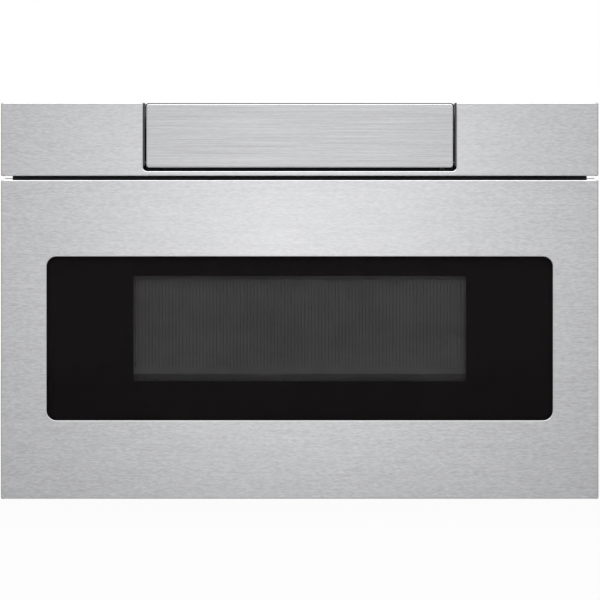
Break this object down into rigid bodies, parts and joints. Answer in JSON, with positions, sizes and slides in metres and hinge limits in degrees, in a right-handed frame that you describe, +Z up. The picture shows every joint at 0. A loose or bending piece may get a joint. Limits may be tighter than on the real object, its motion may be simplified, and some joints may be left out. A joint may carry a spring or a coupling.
{
  "type": "microwave drawer",
  "caption": "Built-in microwave drawer: steel front with dark glass window, flap over a tilting control panel, food pan on powered slides in a metal case.",
  "frame": {"origin": "centre of the unit's footprint, level with the drawer front's lower edge", "axes": "+Z up, the front faces -Y, +X to the right seen from the front"},
  "size_m": [0.6064, 0.5906, 0.402],
  "materials": {
    "brushed_steel": "fine brushed stainless steel",
    "black_paint": "matt black powder coat",
    "galvanised": "galvanised sheet",
    "zinc": "zinc plated",
    "cavity_enamel": "grey baked enamel",
    "black_glass": "black-printed glass",
    "clear_glass": "clear glass",
    "black_plastic": "fine grain",
    "grey_plastic": "moulded, satin",
    "white_nylon": "natural nylon",
    "aluminium": "mill finish",
    "magnetron_metal": "plated steel and aluminium fins",
    "lamination": "varnished laminations",
    "copper": "enamelled copper wire",
    "circuit_board": "glass-epoxy board with its parts",
    "motor_metal": "plated steel can",
    "rubber": "matt"
  },
  "bodies": {
    "cabinet": {"base_pan": "galvanised", "cabinet_screws": "zinc", "cavity_ceiling": "cavity_enamel", "cavity_floor": "cavity_enamel", "cavity_lamp": "motor_metal", "cavity_rear": "cavity_enamel", "cavity_sides": "cavity_enamel", "cord_gland": "rubber", "drive_motor": "motor_metal", "fan_housing": "black_plastic", "flap_latch": "black_plastic", "front_frame": "black_paint", "hinge_brackets": "black_paint", "hv_capacitor": "aluminium", "interlock_switches": "black_plastic", "magnetron": "magnetron_metal", "power_board": "circuit_board", "rear_panel": "galvanised", "shaft_bearings": "white_nylon", "side_panels": "galvanised", "slide_brackets": "galvanised", "slide_outers": "zinc", "stirrer_cover": "grey_plastic", "stirrer_motor": "motor_metal", "switch_brackets": "galvanised", "tilt_damper": "black_plastic", "top_cover": "galvanised", "transformer_core": "lamination", "transformer_windings": "copper", "trim_brackets": "black_paint", "trim_lip": "black_paint", "upper_trim": "brushed_steel", "waveguide": "galvanised"},
    "drawer": {"drawer_front": "brushed_steel", "front_glass": "black_glass", "window_screen": "black_paint", "door_frame": "black_paint", "inner_window": "clear_glass", "back_cover": "black_plastic", "slide_arms": "zinc", "slide_inners": "zinc", "racks": "black_plastic", "latch_tabs": "zinc", "drawer_pan": "grey_plastic", "pan_glass": "clear_glass"},
    "slide_middle": {"slide_middles": "zinc", "bearing_balls": "zinc"},
    "cross_shaft": {"cross_shaft": "zinc", "shaft_gears": "white_nylon"},
    "motor_gear": {"motor_gear": "white_nylon"},
    "control_panel": {"flap_fascia": "brushed_steel", "control_housing": "black_plastic", "touch_glass": "black_glass", "control_board": "circuit_board", "hinge_pins": "zinc", "damper_sector": "white_nylon"},
    "damper_gear": {"damper_gear": "white_nylon"},
    "fan": {"fan_blade": "white_nylon"},
    "stirrer": {"stirrer_blade": "aluminium"}
  },
  "joints": [
    {"name": "drawer_slide", "type": "slide", "parent": "cabinet", "child": "drawer", "axis": [0, -1, 0], "range_m": [0, 0.381]},
    {"name": "middle_slide", "type": "slide", "parent": "cabinet", "child": "slide_middle", "axis": [0, -1, 0], "range_m": [0, 0.1905]},
    {"name": "shaft_turn", "type": "hinge", "parent": "cabinet", "child": "cross_shaft", "pos_m": [0, -0.235, 0.034], "axis": [1, 0, 0], "range_deg": [0, 1365]},
    {"name": "motor_gear_turn", "type": "hinge", "parent": "cabinet", "child": "motor_gear", "pos_m": [0.064, -0.208, 0.034], "axis": [1, 0, 0], "range_deg": [-2729, 0]},
    {"name": "panel_tilt", "type": "hinge", "parent": "cabinet", "child": "control_panel", "pos_m": [0, -0.2913, 0.3411], "axis": [1, 0, 0], "range_deg": [0, 75]},
    {"name": "damper_turn", "type": "hinge", "parent": "cabinet", "child": "damper_gear", "pos_m": [0.1455, -0.27947, 0.36648], "axis": [1, 0, 0], "range_deg": [-276, 0]},
    {"name": "fan_spin", "type": "hinge", "parent": "cabinet", "child": "fan", "pos_m": [0.165, 0.244, 0.0722], "axis": [0, 1, 0], "continuous": true},
    {"name": "stirrer_spin", "type": "hinge", "parent": "cabinet", "child": "stirrer", "pos_m": [0, 0.02, 0.276], "axis": [0, 0, 1], "continuous": true}
  ],
  "couplings": [
    {"joint": "middle_slide", "follows": "drawer_slide", "ratio": 0.5},
    {"joint": "shaft_turn", "follows": "drawer_slide", "rad_per_m": 62.5},
    {"joint": "motor_gear_turn", "follows": "drawer_slide", "rad_per_m": -125},
    {"joint": "damper_turn", "follows": "panel_tilt", "ratio": -3.6667}
  ]
}
